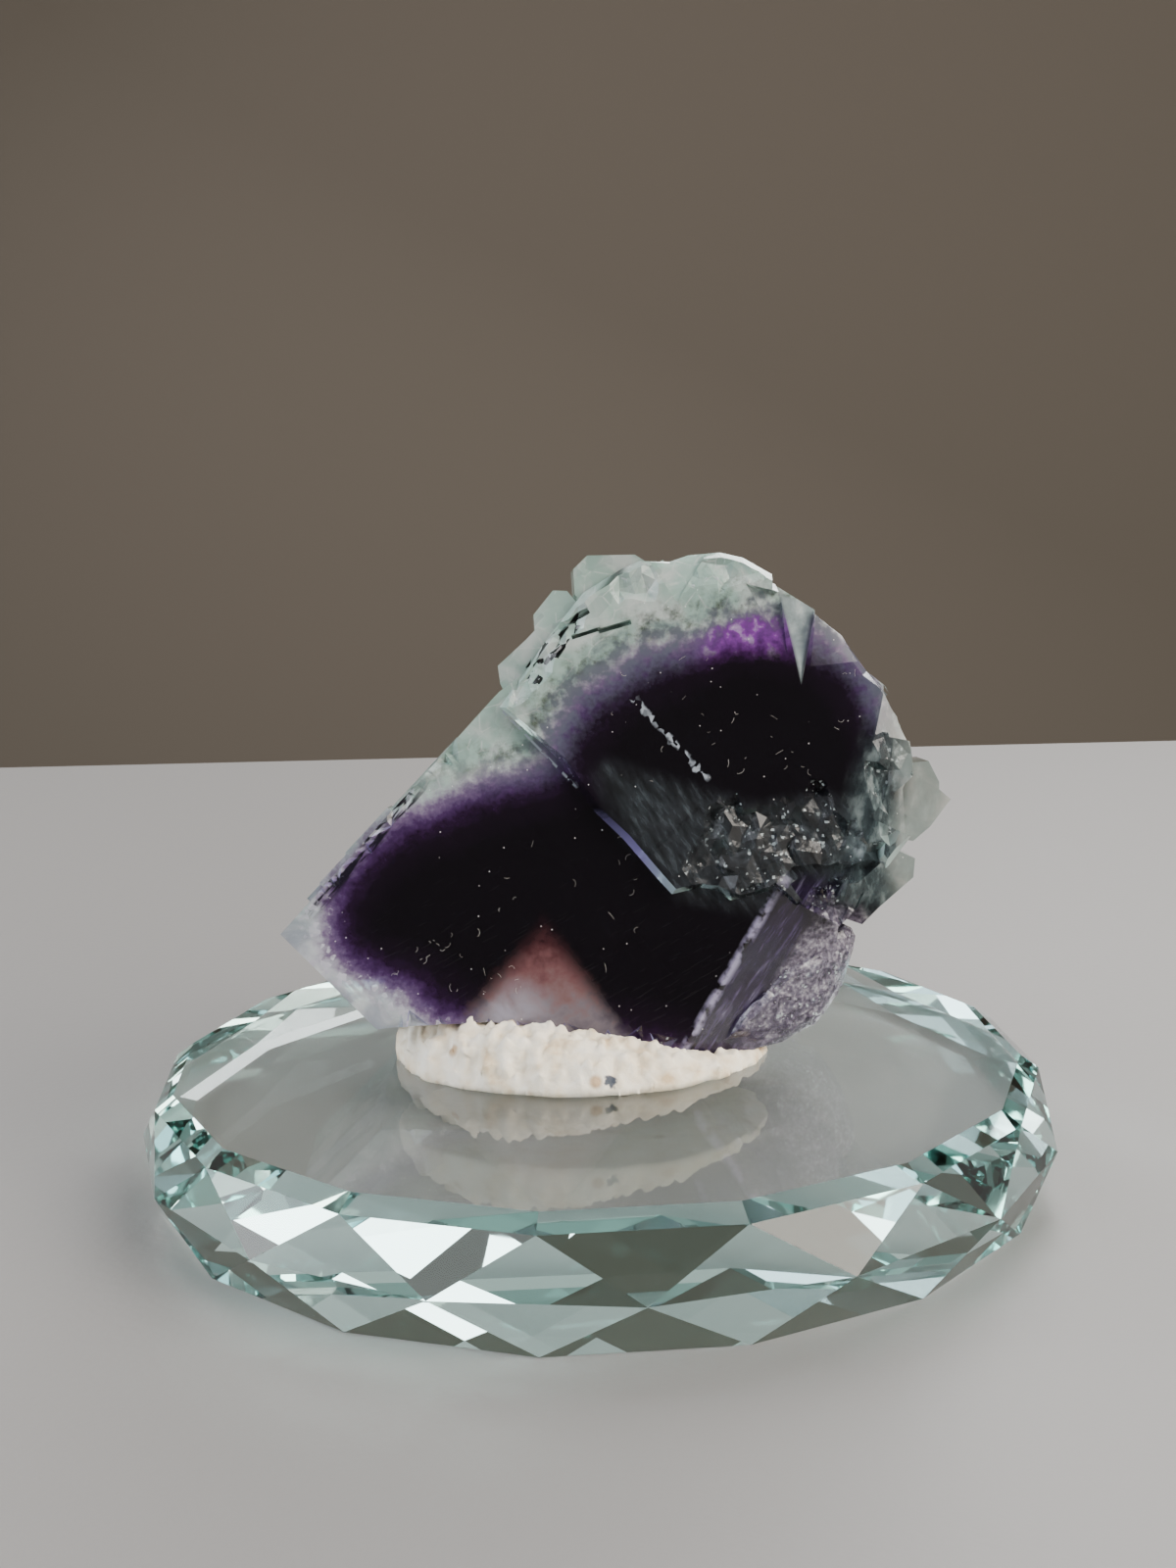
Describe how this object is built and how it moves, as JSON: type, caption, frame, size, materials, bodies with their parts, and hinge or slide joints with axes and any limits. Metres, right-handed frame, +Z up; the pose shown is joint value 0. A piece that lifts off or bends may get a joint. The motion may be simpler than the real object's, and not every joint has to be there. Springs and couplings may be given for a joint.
{
  "type": "fluorite specimen",
  "caption": "Cluster of dark purple cubic fluorite crystals with pale green rims, held by a putty pad on a round faceted clear glass display disc.",
  "frame": {"origin": "middle of the glass disc's flat underside", "axes": "+Z up, -Y towards the specimen's big front face, +X to that face's right"},
  "size_m": [0.0996, 0.0996, 0.0672],
  "materials": {
    "fluorite": "translucent, dark purple with pale green rims, glassy cube faces and rough breaks",
    "putty": "matt off-white putty, pressed by hand",
    "clear_glass": "polished facets, faint green tint"
  },
  "bodies": {
    "root": {"fluorite_crystals": "fluorite", "putty_pad": "putty", "glass_disc": "clear_glass"}
  },
  "joints": []
}
